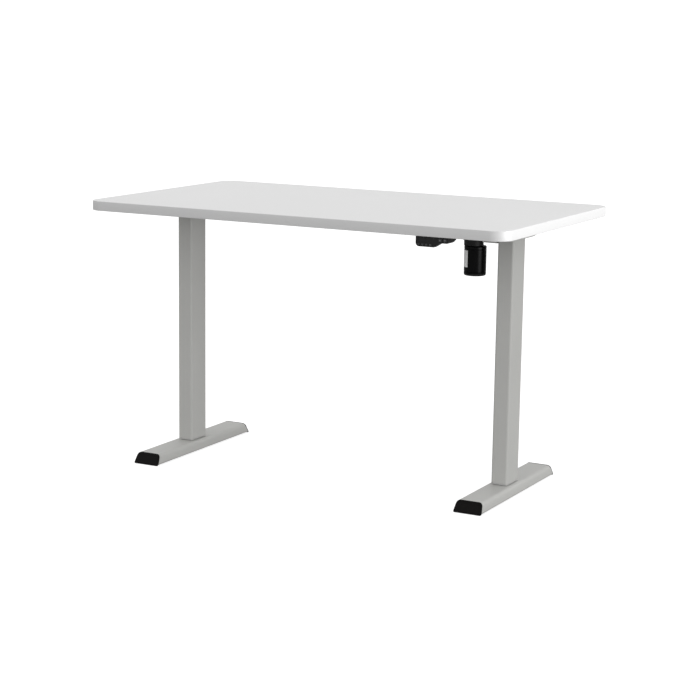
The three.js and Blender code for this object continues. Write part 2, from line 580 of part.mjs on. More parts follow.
function addHandset() {
  const { left, right, front, rear, deep, shallow, stepLeft, underFront, underRear } = PAD;
  const { cavity, pocket, wall, segments } = PAD;
  const top = UNDERSIDE - GAP;
  const under = polygon([[front - 5, deep - 20], [rear + 5, deep - 20], [rear + 5, underRear],
    [rear, underRear], [front, underFront], [front - 5, underFront]]);
  let shell = prism(handsetOutline(), 'y', front, rear, segments);
  shell = shell.subtract(prism(under, 'x', left - PAST, right + PAST));
  shell = shell.subtract(box(left + wall, stepLeft + 2, front - PAST, front + cavity, deep + 6, top - wall));
  shell = shell.subtract(box(left + wall, stepLeft, front - PAST, front + pocket, deep + wall, deep + 10));
  shell = shell.subtract(box(stepLeft, right - wall, front - PAST, front + cavity, shallow + wall, top - wall));
  piece('handset_shell', shell, blackPlastic);

  const back = front - GAP;
  const face = back - FACE.thick;
  let plate = prism(handsetOutline(), 'y', face, back, segments);
  for (const button of BUTTONS) {
    plate = plate.subtract(prism(buttonOutline(button, BUTTON.clearance), 'y', face - PAST, back + PAST, 1));
  }
  const pane = (grow, past) => box(DISPLAY.left - grow, DISPLAY.right + grow, face - past, back + past,
    DISPLAY.bottom - grow, DISPLAY.top + grow);
  piece('handset_face', plate.subtract(pane(GAP, PAST)), blackPlastic);
  piece('display_window', pane(0, 0), smokedWindow);
  for (const button of BUTTONS) {
    const key = prism(buttonOutline(button, 0), 'y', face - BUTTON.proud, back + BUTTON.stem, 1);
    piece(button.name, key, greyKey);
  }
}

function buttonOutline({ x, z, width, height }, grow) {
  const corner = Math.min(width, height) * 0.35;
  return roundedRect(width + 2 * grow, height + 2 * grow, corner + grow, x, z);
}

// ---- leads ----------------------------------------------------------------------------------------------
// Both leads are clipped to the underside of the desktop all the way, over the rails.
function addLeads() {
  const motorY = COLUMN.y - WHEEL.centreDistance;
  const out = [Math.cos(MOTOR_LEAD.exitAngle), Math.sin(MOTOR_LEAD.exitAngle)];
  const reach = MOTOR.radius + GAP;
  const start = [MOTOR.x + reach * out[0], motorY + reach * out[1], MOTOR_LEAD.exitZ];
  const motorRoute = [start, [369.5, -13.5, 626.5], [362, -1, 631], [356.5, 7, 642], [354, 10.5, 660],
    [353, 13, 680], [352, 21, 690.3], [351, 34, 692], [350, 60, 692], [349, 92, 692], [345, 114, 690.5],
    [335, 127, 685], [322, 131.5, 678.5], [314, 132, 676.2], [307, 132, 676], [BOX.right + GAP, 132, 676]];
  piece('motor_lead', tubeAlong(motorRoute, MOTOR_LEAD.radius, 6, 28), rubber);
  const handsetRoute = [[400, PAD.rear + GAP, 692], [400, -286, 692.3], [393, -265, 692.8], [370, -236, 692.8],
    [346, -200, 692.8], [331, -160, 692.8], [325, -110, 692.8], [322, -50, 692.8], [317, 0, 692.8],
    [300, 40, 692.8], [286, 61, 691.3], [282.5, 67.5, 686.5], [280.5, 71.5, 681.8], [280, 76, 680.1],
    [280, 80, 680], [280, BOX.front - GAP, 680]];
  piece('handset_lead', tubeAlong(handsetRoute, HANDSET_LEAD.radius, 6, 40), rubber);
}

// ---- assembly -------------------------------------------------------------------------------------------
addDesktop();
for (const [side, inward] of [['left', 1], ['right', -1]]) {
  const column = new THREE.Group();
  column.position.x = -inward * COLUMN.x;
  desk.add(column);
  addFoot(side, column);
  addInnerTube(side, column);
  addOuterTube(side, inward, column);
  addSideBracket(side, inward, column);
  addSpindle(side, column);
  addPinion(side, column);
}
addRails();
addCrossShaft();
addMotor();
addDriveHousing();
addMotorMount();
addControlBox();
addHandset();
addLeads();

export default desk;
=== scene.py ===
"""The looks of a height adjustable standing desk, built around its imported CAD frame.
Sizes are in millimetres, and MM turns them into Blender's metres, except where a section says metres."""
import math

import bmesh
import bpy
from mathutils import Matrix, Vector


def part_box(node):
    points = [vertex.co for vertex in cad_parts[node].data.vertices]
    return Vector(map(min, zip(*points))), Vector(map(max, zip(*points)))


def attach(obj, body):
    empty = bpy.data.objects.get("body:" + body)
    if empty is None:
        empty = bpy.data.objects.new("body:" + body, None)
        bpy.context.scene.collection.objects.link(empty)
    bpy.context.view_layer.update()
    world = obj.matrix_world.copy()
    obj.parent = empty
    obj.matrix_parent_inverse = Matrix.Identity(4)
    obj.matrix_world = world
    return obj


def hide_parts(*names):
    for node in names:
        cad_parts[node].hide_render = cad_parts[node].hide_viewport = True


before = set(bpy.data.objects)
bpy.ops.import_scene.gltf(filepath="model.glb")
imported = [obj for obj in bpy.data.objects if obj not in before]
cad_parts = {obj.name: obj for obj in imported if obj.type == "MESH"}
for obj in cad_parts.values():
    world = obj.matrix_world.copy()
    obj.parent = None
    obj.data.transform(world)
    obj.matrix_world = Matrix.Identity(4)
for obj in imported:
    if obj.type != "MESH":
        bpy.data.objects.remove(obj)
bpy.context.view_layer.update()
MM = 0.001
SIDES = {"left": -1, "right": 1}
TOP = "desk_top"
KEYS = ("up_button", "down_button", "memory_1_button", "memory_2_button", "memory_3_button", "set_button")


def size_of(node):
    """A node's lowest and highest corner in millimetres."""
    low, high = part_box(node)
    return Vector(low) / MM, Vector(high) / MM


def middle_of(node):
    low, high = size_of(node)
    return (low + high) / 2


# ---- camera and stage, in metres and degrees -----------------------------------------------------
LENS = 94.9
CAMERA_PLACE = (2.288, -4.296, 1.239)
CAMERA_TURN = 27.97
CAMERA_DOWN = 10.64
CAMERA_ROLL = 0.82
SEEN_TO = 60
FLOOR_SIZE = 60
RIGHT_BOX = {"place": (6.0, -1.6, 0.55), "target": (0, 0, 0.4), "size": (3.0, 1.0), "power": 93}
EDGE_LAMP = {"place": (3.0, 0.2, 0.71), "target": (0.6, 0, 0.71), "size": (1.5, 0.8), "power": 46}


def make_camera():
    """A long lens that looks down a little at the desk, from its front right."""
    data = bpy.data.cameras.new("camera")
    data.lens = LENS
    data.sensor_width = 36
    data.clip_end = SEEN_TO
    camera = bpy.data.objects.new("camera", data)
    bpy.context.scene.collection.objects.link(camera)
    turn = Matrix.Rotation(math.radians(CAMERA_TURN), 4, "Z")
    tilt = Matrix.Rotation(math.radians(90 - CAMERA_DOWN), 4, "X")
    roll = Matrix.Rotation(math.radians(CAMERA_ROLL), 4, "Z")
    camera.matrix_world = Matrix.Translation(CAMERA_PLACE) @ turn @ (tilt @ roll)
    bpy.context.scene.camera = camera


def area_light(name, place, target, size, power):
    """A rectangular soft light, in watts, turned towards its target."""
    data = bpy.data.lights.new(name, "AREA")
    data.shape = "RECTANGLE"
    data.size, data.size_y = size
    data.energy = power
    light = bpy.data.objects.new(name, data)
    bpy.context.scene.collection.objects.link(light)
    light.location = place
    light.rotation_euler = (Vector(target) - Vector(place)).to_track_quat("-Z", "Y").to_euler()
    return light


def shown_strength(nodes, links, seen, shed):
    """A strength that is one value where the camera sees it, and another where it lights the desk."""
    path = nodes.new("ShaderNodeLightPath")
    strength = nodes.new("ShaderNodeMapRange")
    strength.inputs["To Min"].default_value = shed
    strength.inputs["To Max"].default_value = seen
    links.new(path.outputs["Is Camera Ray"], strength.inputs["Value"])
    return strength.outputs["Result"]


def make_floor_material():
    """A pale grey that glows white for the camera alone, and is clear from below."""
    material = plain("floor_white", grey(0.38), 0.9, Specular_IOR_Level=0.0)
    nodes, links = material.node_tree.nodes, material.node_tree.links
    shader = nodes["Principled BSDF"]
    shader.inputs["Emission Color"].default_value = (1, 1, 1, 1)
    links.new(shown_strength(nodes, links, seen=0.85, shed=0.0), shader.inputs["Emission Strength"])
    side = nodes.new("ShaderNodeNewGeometry")
    clear = nodes.new("ShaderNodeBsdfTransparent")
    mix = nodes.new("ShaderNodeMixShader")
    links.new(side.outputs["Backfacing"], mix.inputs[0])
    links.new(shader.outputs[0], mix.inputs[1])
    links.new(clear.outputs[0], mix.inputs[2])
    links.new(mix.outputs[0], nodes["Material Output"].inputs["Surface"])
    return material


def make_floor():
    bpy.ops.mesh.primitive_plane_add(size=FLOOR_SIZE)
    floor = bpy.context.object
    floor.name = "floor"
    floor.data.materials.append(make_floor_material())


def make_studio():
    """A white tent of soft light, and a wide soft box low on the right."""
    world = bpy.data.worlds.new("studio")
    bpy.context.scene.world = world
    world.use_nodes = True
    nodes, links = world.node_tree.nodes, world.node_tree.links
    background = nodes["Background"]
    background.inputs["Color"].default_value = (1, 1, 1, 1)
    links.new(shown_strength(nodes, links, seen=1.1, shed=0.95), background.inputs["Strength"])
    area_light("right_box", **RIGHT_BOX)
    bpy.context.scene.view_settings.view_transform = "Standard"


def light_edge(band):
    """A lamp level with the board that lights its edge band alone, as flags in a studio would keep it."""
    lamp = area_light("edge_lamp", **EDGE_LAMP)
    lit = bpy.data.collections.new("lit_by_edge_lamp")
    lit.objects.link(band)
    lamp.light_linking.receiver_collection = lit


# ---- material building blocks --------------------------------------------------------------------
def grey(value):
    return (value, value, value)


def tone(color, factor):
    return tuple(c * factor for c in color)


def plain(name, color, roughness, metallic=0.0, **sockets):
    """A material of one colour. The sockets are the shader's own, with _ in place of a space."""
    material = bpy.data.materials.new(name)
    material.use_nodes = True
    shader = material.node_tree.nodes["Principled BSDF"]
    shader.inputs["Base Color"].default_value = (*color, 1)
    shader.inputs["Roughness"].default_value = roughness
    shader.inputs["Metallic"].default_value = metallic
    for socket, value in sockets.items():
        shader.inputs[socket.replace("_", " ")].default_value = value
    return material


NOISE_MIDDLE = (0.3, 0.7)
ROUGHNESS_DRIFT = 0.06


class Nodes:
    """Short names for building one material's nodes, in object coordinates, which are metres at rest."""

    def __init__(self, material):
        self.tree = material.node_tree
        self.shader = self.tree.nodes["Principled BSDF"]
        self.place = self.new("ShaderNodeTexCoord").outputs["Object"]

    def new(self, kind):
        return self.tree.nodes.new(kind)

    def link(self, a, b):
        self.tree.links.new(a, b)

    def noise(self, scale, detail, rough):
        node = self.new("ShaderNodeTexNoise")
        node.inputs["Scale"].default_value = scale
        node.inputs["Detail"].default_value = detail
        node.inputs["Roughness"].default_value = rough
        self.link(self.place, node.inputs["Vector"])
        return node.outputs["Fac"]

    def cells(self, scale):
        node = self.new("ShaderNodeTexVoronoi")
        node.inputs["Scale"].default_value = scale
        self.link(self.place, node.inputs["Vector"])
        return node.outputs["Distance"]

    def spread(self, value, low, high):
        """Maps the middle of a noise to the range from low to high."""
        node = self.new("ShaderNodeMapRange")
        node.inputs["From Min"].default_value, node.inputs["From Max"].default_value = NOISE_MIDDLE
        node.inputs["To Min"].default_value = low
        node.inputs["To Max"].default_value = high
        self.link(value, node.inputs["Value"])
        return node.outputs["Result"]

    def shade(self, value, dark, light):
        """Colours the middle of a noise from dark to light."""
        ramp = self.new("ShaderNodeValToRGB")
        first, last = ramp.color_ramp.elements
        first.position, last.position = NOISE_MIDDLE
        first.color, last.color = (*dark, 1), (*light, 1)
        self.link(value, ramp.inputs["Fac"])
        return ramp.outputs["Color"]

    def blend(self, a, b):
        """The even mix of two colours."""
        node = self.new("ShaderNodeMix")
        node.data_type = "RGBA"
        node.inputs["Factor"].default_value = 0.5
        self.link(a, node.inputs["A"])
        self.link(b, node.inputs["B"])
        return node.outputs["Result"]

    def average(self, a, b):
        """The even mix of two numbers."""
        half = self.new("ShaderNodeMath")
        half.operation = "MULTIPLY"
        half.inputs[1].default_value = 0.5
        self.link(b, half.inputs[0])
        node = self.new("ShaderNodeMath")
        node.operation = "MULTIPLY_ADD"
        node.inputs[1].default_value = 0.5
        self.link(a, node.inputs[0])
        self.link(half.outputs[0], node.inputs[2])
        return node.outputs[0]

    def color(self, value):
        self.link(value, self.shader.inputs["Base Color"])

    def roughness(self, value):
        self.link(value, self.shader.inputs["Roughness"])

    def bump(self, height, depth):
        """A relief whose full height is a depth in millimetres."""
        node = self.new("ShaderNodeBump")
        node.inputs["Strength"].default_value = 0.6
        node.inputs["Distance"].default_value = depth * MM
        self.link(height, node.inputs["Height"])
        self.link(node.outputs["Normal"], self.shader.inputs["Normal"])


def textured(name, color, roughness, grain, depth, vary=0.04, cloud=6.0, metallic=0.0, moulded=False,
             **sockets):
    """A surface with fine grain in its relief, and slow drifts in its colour and roughness.
    grain and cloud are the numbers of grains and of drifts in a metre, depth is the relief in millimetres,
    vary is the share that the colour drifts by, and a moulded surface has the cells of an etched mould."""
    material = plain(name, color, roughness, metallic, **sockets)
    n = Nodes(material)
    fine = n.noise(grain, detail=3.0, rough=0.6)
    slow = n.noise(cloud, detail=4.0, rough=0.55)
    speckled = n.shade(fine, tone(color, 1 - vary), tone(color, 1 + vary))
    drifted = n.shade(slow, tone(color, 1 - vary), tone(color, 1 + vary))
    n.color(n.blend(speckled, drifted))
    n.roughness(n.spread(n.average(fine, slow), roughness - ROUGHNESS_DRIFT, roughness + ROUGHNESS_DRIFT))
    n.bump(n.cells(grain) if moulded else fine, depth)
    return material


# ---- materials -----------------------------------------------------------------------------------
def board_materials():
    """The desktop's laminate, and the plastic band on its edge."""
    return {
        "laminate": textured("white_laminate", grey(0.74), 0.42, grain=1400, depth=0.03, vary=0.012,
                             cloud=3.0),
        "edge_band": textured("white_edge_band", grey(0.61), 0.38, grain=700, depth=0.02, vary=0.01,
                              cloud=5.0),
    }


def paints():
    """The frame's powder coat, and the paint on the motor."""
    return {
        "powder": textured("grey_powder_coat", (0.5, 0.5, 0.482), 0.52, grain=2200, depth=0.08, vary=0.05,
                           cloud=4.0),
        "black_steel": textured("black_paint", (0.002, 0.002, 0.0022), 0.28, grain=1500, depth=0.04, vary=0.2,
                                Specular_IOR_Level=0.1),
    }


def metals():
    """Plated fasteners, oiled gears and spindles, and the bronze worm wheel."""
    return {
        "zinc": textured("zinc_plated", (0.6, 0.61, 0.63), 0.36, grain=900, depth=0.03, vary=0.08,
                         cloud=40.0, metallic=1.0),
        "steel": textured("oiled_steel", (0.42, 0.42, 0.43), 0.34, grain=1800, depth=0.03, vary=0.12,
                          cloud=60.0, metallic=1.0),
        "bronze": textured("bronze", (0.55, 0.38, 0.18), 0.32, grain=1500, depth=0.03, vary=0.1,
                           cloud=50.0, metallic=1.0),
    }


def moulded_plastics():
    """Plastics from etched moulds: housings, foot caps and column collars."""
    return {
        "black_plastic": textured("black_plastic", grey(0.01), 0.5, grain=2600, depth=0.06, vary=0.2,
                                  moulded=True, Specular_IOR_Level=0.25),
        "cap_plastic": textured("cap_plastic", (0.0035, 0.003, 0.0028), 0.48, grain=2200, depth=0.06,
                                vary=0.2, moulded=True, Specular_IOR_Level=0.1),
        "grey_plastic": textured("grey_plastic", (0.5, 0.5, 0.49), 0.55, grain=2000, depth=0.05,
                                 moulded=True),
    }


def trim_materials():
    """Nylon, rubber, cable sheath and circuit board."""
    return {
        "nylon": textured("natural_nylon", (0.74, 0.73, 0.68), 0.5, grain=800, depth=0.04, vary=0.03),
        "rubber": textured("black_rubber", grey(0.014), 0.8, grain=1500, depth=0.08, vary=0.2),
        "cable": textured("cable_sheath", grey(0.012), 0.42, grain=900, depth=0.03, vary=0.15),
        "board": textured("circuit_board", (0.015, 0.11, 0.045), 0.35, grain=500, depth=0.05, vary=0.3,
                          cloud=120.0),
    }


def handset_materials():
    """The handset's window, keys and their marks, and the blank label on the motor."""
    return {
        "window": textured("smoked_window", (0.004, 0.004, 0.005), 0.16, grain=60, depth=0.005, vary=0.1),
        "key": textured("key_plastic", (0.03, 0.0305, 0.032), 0.55, grain=3000, depth=0.04, vary=0.08,
                        Specular_IOR_Level=0.25),
        "mark": textured("key_mark", grey(0.16), 0.5, grain=2000, depth=0.01, vary=0.02),
        "label": textured("blank_label", (0.93, 0.93, 0.92), 0.4, grain=400, depth=0.01, vary=0.03),
    }


def make_materials():
    groups = (board_materials, paints, metals, moulded_plastics, trim_materials, handset_materials)
    return {name: material for group in groups for name, material in group().items()}


# ---- mesh building blocks ------------------------------------------------------------------------
CREASE = 32


def add_piece(name, solids, material, body, replaces=()):
    """One piece of the desk from a list of (vertices, faces), in millimetres."""
    vertices, faces = [], []
    for points, polygons in solids:
        start = len(vertices)
        vertices += [Vector(p) * MM for p in points]
        faces += [tuple(i + start for i in polygon) for polygon in polygons]
    mesh = bpy.data.meshes.new(name)
    mesh.from_pydata(vertices, [], faces)
    sheet = bmesh.new()
    sheet.from_mesh(mesh)
    bmesh.ops.recalc_face_normals(sheet, faces=sheet.faces)
    sheet.to_mesh(mesh)
    sheet.free()
    mesh.polygons.foreach_set("use_smooth", [True] * len(mesh.polygons))
    mesh.set_sharp_from_angle(angle=math.radians(CREASE))
    mesh.materials.append(MATERIAL[material])
    piece = bpy.data.objects.new(name, mesh)
    bpy.context.scene.collection.objects.link(piece)
    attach(piece, body)
    if replaces:
        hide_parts(*replaces)
    return piece


def loft(rings, closed=False):
    """Joins rings of equally many points. The ends are capped, or the last ring meets the first."""
    count = len(rings[0])
    points = [p for ring in rings for p in ring]
    faces = []
    for i in range(len(rings) if closed else len(rings) - 1):
        a, b = i * count, (i + 1) % len(rings) * count
        faces += [(a + k, a + (k + 1) % count, b + (k + 1) % count, b + k) for k in range(count)]
    if not closed:
        faces += [tuple(range(count)), tuple(range(len(points) - count, len(points)))]
    return points, faces


def level(outline, z):
    """A flat outline as a ring at one height."""
    return [(x, y, z) for x, y in outline]


def moved(solid, matrix):
    return [matrix @ Vector(p) for p in solid[0]], solid[1]


def facing(place, direction, spin=0.0):
    """The matrix that puts a part drawn along +Z at a place, with its top towards a direction."""
    turn = Vector(direction).to_track_quat("Z", "Y").to_matrix().to_4x4()
    return Matrix.Translation(place) @ turn @ Matrix.Rotation(spin, 4, "Z")


def arc(centre, radius, start, end, steps):
    """Points on an arc, both ends included, from start to end in degrees."""
    angles = [math.radians(start + (end - start) * i / steps) for i in range(steps + 1)]
    return [(centre[0] + radius * math.cos(a), centre[1] + radius * math.sin(a)) for a in angles]


def bend(start, corner, end, steps=8):
    """Points on a quadratic curve round a corner."""
    shares = [i / steps for i in range(steps + 1)]
    return [tuple((1 - t) ** 2 * a + 2 * t * (1 - t) * b + t * t * c for a, b, c in zip(start, corner, end))
            for t in shares]


def circle(radius, count=48, centre=(0, 0)):
    angles = [2 * math.pi * i / count for i in range(count)]
    return [(centre[0] + radius * math.cos(a), centre[1] + radius * math.sin(a)) for a in angles]


def rounded_rect(width, depth, radius, centre=(0, 0), steps=8):
    x, y = width / 2 - radius, depth / 2 - radius
    points = []
    for i, (cx, cy) in enumerate([(x, -y), (x, y), (-x, y), (-x, -y)]):
        points += arc((centre[0] + cx, centre[1] + cy), radius, 90 * i - 90, 90 * i, steps)
    return points


def edge_profile(low, high, radius, steps):
    """(inset, height) pairs up the side of a slab with two rounded edges."""
    angles = [math.pi / 2 * i / steps for i in range(steps + 1)]
    lower = [(radius * (1 - math.sin(a)), low + radius * (1 - math.cos(a))) for a in angles]
    return lower + [(inset, low + high - z) for inset, z in reversed(lower)]


def slab(outline, low, high, radius, steps):
    """A plate between two heights. outline(inset) gives its edge, drawn in by the inset."""
    return loft([level(outline(inset), z) for inset, z in edge_profile(low, high, radius, steps)])


def turned(profile, count=48):
    """A solid of revolution about Z from (radius, z) pairs, with its ends capped."""
    return loft([level(circle(radius, count), z) for radius, z in profile])


# ---- screws --------------------------------------------------------------------------------------
WASHER_THICK = 0.8
DOME_ANGLES = (20, 45, 70)
DOWN = (0, 0, -1)


def hexagon_reach(angle):
    """How far a hexagonal socket reaches at an angle, as a share of its corner's reach."""
    return math.cos(math.pi / 6) / math.cos(angle % (math.pi / 3) - math.pi / 6)


def cross_reach(angle):
    """How far a cross recess reaches at an angle, as a share of its arm's reach."""
    return 0.34 + 0.66 * abs(math.cos(2 * angle)) ** 4


def fastener(radius, height, socket, reach=hexagon_reach, washer=0.0):
    """A domed screw head that stands on z = 0, or on a washer of its own, with a socket in its top."""
    count = 48
    base = WASHER_THICK if washer else 0.0
    flat = socket * 1.15

    def recess(scale):
        angles = [2 * math.pi * i / count for i in range(count)]
        spokes = [(scale * socket * reach(a), a) for a in angles]
        return [(r * math.cos(a), r * math.sin(a)) for r, a in spokes]

    rings = [level(circle(washer, count), z) for z in (0, base)] if washer else []
    rings.append(level(circle(radius, count), base))
    for angle in DOME_ANGLES:
        turn = math.radians(angle)
        girth = flat + (radius - flat) * math.cos(turn)
        rings.append(level(circle(girth, count), base + height * math.sin(turn)))
    rings.append(level(circle(flat, count), base + height))
    rings.append(level(recess(1.0), base + height))
    rings.append(level(recess(0.9), base + 0.35 * height))
    return loft(rings)


def cross_screw(radius, height, socket):
    return fastener(radius, height, socket, cross_reach)


def add_fasteners(name, head, places, direction, body=TOP):
    """One piece of many equal screw heads that face one way."""
    add_piece(name, [moved(head, facing(place, direction)) for place in places], "zinc", body)


# ---- CAD nodes that stay -------------------------------------------------------------------------
# A finish is a material, the radius that eases the sharp edges, and the nodes that have them.
SIDE_FINISHES = (
    ("powder", 0.35, ("foot", "outer_tube", "inner_tube", "side_bracket")),
    ("rubber", 0.3, ("front_leveller", "rear_leveller")),
    ("nylon", 0.2, ("upper_glide", "spindle_nut")),
    ("steel", 0.15, ("spindle", "spindle_gear", "shaft_pinion", "spindle_bearing")),
    ("grey_plastic", 0.25, ("lower_glide",)),
    ("black_plastic", 0.4, ("gear_case",)),
    ("zinc", 0.3, ("anchor_plate",)),
)
FINISHES = (
    ("powder", 0.35, ("front_rail", "rear_rail", "motor_mount")),
    ("black_plastic", 0.6, ("drive_housing", "drive_cover", "control_box_base", "control_box_cover")),
    ("black_plastic", 0.35, ("power_inlet", "handset_shell", "handset_face")),
    ("zinc", 0.3, ("hex_shaft",)),
    ("bronze", 0.15, ("worm_wheel",)),
    ("steel", 0.15, ("motor_worm",)),
    ("board", 0.2, ("control_board",)),
    ("window", 0.2, ("display_window",)),
    ("key", 0.5, KEYS),
)
WELD_REACH = 0.005
BEVEL_ANGLE = 40


def dress(node, material, edge):
    """Gives a CAD node its material, and eases its sharp edges by a radius."""
    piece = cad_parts[node]
    if not piece.material_slots:
        piece.data.materials.append(MATERIAL[material])
    for slot in piece.material_slots:
        slot.link = "OBJECT"
        slot.material = MATERIAL[material]
    weld = piece.modifiers.new("weld", "WELD")
    weld.merge_threshold = WELD_REACH * MM
    bevel = piece.modifiers.new("bevel", "BEVEL")
    bevel.width = edge * MM
    bevel.segments = 2
    bevel.limit_method = "ANGLE"
    bevel.angle_limit = math.radians(BEVEL_ANGLE)
    normals = piece.modifiers.new("normals", "WEIGHTED_NORMAL")
    normals.weight = 60


def dress_nodes():
    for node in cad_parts.values():
        node.data.polygons.foreach_set("use_smooth", [True] * len(node.data.polygons))
    for side in SIDES:
        for material, edge, parts in SIDE_FINISHES:
            for part in parts:
                dress(f"{side}_{part}", material, edge)
    for material, edge, nodes in FINISHES:
        for node in nodes:
            dress(node, material, edge)


# ---- desktop -------------------------------------------------------------------------------------
DESK_CORNER = 45
BAND = {"thick": 0.8, "seam": 0.06, "ease": 1.4, "below_top": 0.05, "lip": 0.1}
BOARD_EASE = 0.12


def make_desktop():
    """The laminated board, and the plastic band glued round its edge, with a fine seam between them."""
    low, high = size_of("desktop")
    width, depth = high.x - low.x, high.y - low.y

    def outline(inset):
        return rounded_rect(width - 2 * inset, depth - 2 * inset, DESK_CORNER - inset, steps=24)

    seam = BAND["thick"] + BAND["seam"]
    board = slab(lambda inset: outline(seam + inset), low.z, high.z, BOARD_EASE, 2)
    add_piece("desktop_board", [board], "laminate", TOP, ["desktop"])

    outside = edge_profile(low.z + BAND["below_top"], high.z - BAND["below_top"], BAND["ease"], 5)
    profile = [(BAND["thick"], low.z + BAND["lip"])]
    profile += [(inset, z) for inset, z in outside if inset < BAND["thick"] - BAND["lip"]]
    profile.append((BAND["thick"], high.z - BAND["lip"]))
    rings = [level(outline(inset), z) for inset, z in profile]
    band = add_piece("desktop_edge_band", [loft(rings, closed=True)], "edge_band", TOP)
    light_edge(band)


# ---- feet ----------------------------------------------------------------------------------------
FOOT = {"height": 30, "taper": 4.5, "heel": 5, "corner": 10, "lean": 16}
FOOT_BODY = {"left": "left_base", "right": "right_base"}
# A cap's rings from its back to its face: how far each is drawn in, and how far it lies behind the face.
CAP_SIDE = [(0.5, 4.6), (0.05, 4.2), (0.05, 1.6)]
CAP_ROUNDED_EDGE = [(0.3, 0.8), (0.9, 0.25), (1.8, 0.05), (3.0, 0.0)]
CAP_GROOVE = [(3.25, 0.55), (3.85, 0.55), (4.1, 0.0)]
CAP_PANEL = [(7.0, 0.0)]
ANCHOR_BOLTS = [(x, y) for x in (-10, 10) for y in (-49, -5)]
ANCHOR_BOLT_SEAT = 14.9


def cap_outline(node, inset):
    """The cap's section as (x, z) pairs: flat bottom and top, sides that lean in, rounded corners."""
    low, high = size_of(node)
    half_low = (high.x - low.x) / 2 - inset
    half_high = half_low - FOOT["taper"]
    bottom, top = low.z + inset, high.z - inset
    heel, corner = max(FOOT["heel"] - inset, 1.0), max(FOOT["corner"] - inset, 1.5)
    middle = (low.x + high.x) / 2
    slope = FOOT["taper"] / (top - bottom)
    right = bend((half_low - heel, bottom), (half_low, bottom), (half_low - heel * slope, bottom + heel))
    right += bend((half_high + corner * slope, top - corner), (half_high, top), (half_high - corner, top))
    left = [(-x, z) for x, z in reversed(right)]
    return [(middle + x, z) for x, z in right + left]


def make_foot_cap(side, end, way):
    """A moulded cap whose leaning face carries a fine groove round a flat panel. way is -1 at the front."""
    node = f"{side}_foot_{end}_cap"
    low, high = size_of(node)
    toe = high.y if way > 0 else -low.y

    def ring(inset, depth):
        places = []
        for x, z in cap_outline(node, inset):
            lean = FOOT["lean"] * (z - low.z) / FOOT["height"]
            places.append((x, way * (toe - lean - depth), z))
        return places

    rings = [ring(inset, depth) for inset, depth in CAP_SIDE + CAP_ROUNDED_EDGE + CAP_GROOVE + CAP_PANEL]
    add_piece(f"{node}_moulding", [loft(rings)], "cap_plastic", FOOT_BODY[side], [node])


def make_foot_caps():
    for side in SIDES:
        make_foot_cap(side, "front", -1)
        make_foot_cap(side, "rear", 1)


def make_foot_fixings():
    """Socket screws that hold each column to its foot, seen up the access holes."""
    bolt = fastener(radius=6.2, height=5.0, socket=2.6)
    for side in SIDES:
        centre = middle_of(f"{side}_foot")
        places = [(centre.x + x, y, ANCHOR_BOLT_SEAT) for x, y in ANCHOR_BOLTS]
        add_fasteners(f"{side}_foot_bolts", bolt, places, DOWN, FOOT_BODY[side])


# ---- under the desktop ---------------------------------------------------------------------------
UNDERSIDE = 695
RAIL_HEIGHT = 676
BRACKET = {"screws": (-260, -180, 130, 215), "sheet": 2.05, "screw_spin": 0.4}
MOUNT_BOLT_INSET = (9, 14)
COVER_SCREW_INSET = 5


def make_bracket_fixings():
    """Wood screws up through the brackets into the board, and bolts from the brackets into the rails."""
    rails = [middle_of(rail).y for rail in ("front_rail", "rear_rail")]
    screw = cross_screw(radius=4.6, height=2.4, socket=2.4)
    bolt = fastener(radius=5.2, height=3.2, socket=2.4, washer=7.0)
    for side, way in SIDES.items():
        low, high = size_of(f"{side}_side_bracket")
        x, z = (low.x + high.x) / 2, high.z - BRACKET["sheet"]
        screws = [moved(screw, facing((x, y, z), DOWN, BRACKET["screw_spin"] * y)) for y in BRACKET["screws"]]
        add_piece(f"{side}_bracket_screws", screws, "zinc", TOP)
        outer = high.x if way > 0 else low.x
        add_fasteners(f"{side}_rail_bolts", bolt, [(outer, y, RAIL_HEIGHT) for y in rails], (way, 0, 0))


def make_mount_fixings():
    """Bolts up through the motor mount, and cover screws on the drive housing."""
    low, high = size_of("motor_mount")
    side, end = MOUNT_BOLT_INSET
    places = [(x, y, low.z) for x in (low.x + side, high.x - side) for y in (low.y + end, high.y - end)]
    add_fasteners("motor_mount_bolts", fastener(radius=4.2, height=1.0, socket=2.0), places, DOWN)
    low, high = size_of("drive_cover")
    inset = COVER_SCREW_INSET
    places = [(low.x, y, z) for y in (low.y + inset, high.y - inset) for z in (low.z + inset, high.z - inset)]
    add_fasteners("drive_cover_screws", cross_screw(radius=2.6, height=1.5, socket=1.4), places, (-1, 0, 0))


# ---- motor ---------------------------------------------------------------------------------------
CAN_SHOULDER = 2.4
MOTOR_BOLT = {"reach": 18.5, "angle": 0.6, "sunk": 0.2}
LABEL = {"start": -186, "end": -108, "bottom": 587, "top": 630, "steps": 24, "gap": 0.02, "face": 0.16}


def rolled_groove(radius, z):
    """Four points up the can's wall, through a groove that starts at a height."""
    floor = radius - 0.7
    return [(radius, z), (floor, z + 0.7), (floor, z + 1.5), (radius, z + 2.2)]


def make_motor_can(place, radius):
    """A painted can with two rolled grooves and a rounded shoulder."""
    low, high = size_of("motor_can")
    profile = [(radius - 1.0, low.z), (radius - 0.2, low.z + 0.3), (radius, low.z + 1.0)]
    profile += rolled_groove(radius, low.z + 3.2) + rolled_groove(radius, high.z - 9.4)
    profile += arc((radius - CAN_SHOULDER, high.z - CAN_SHOULDER), CAN_SHOULDER, 0, 90, 3)
    shell = moved(turned(profile, 96), place)
    add_piece("motor_can_shell", [shell], "black_steel", TOP, ["motor_can"])


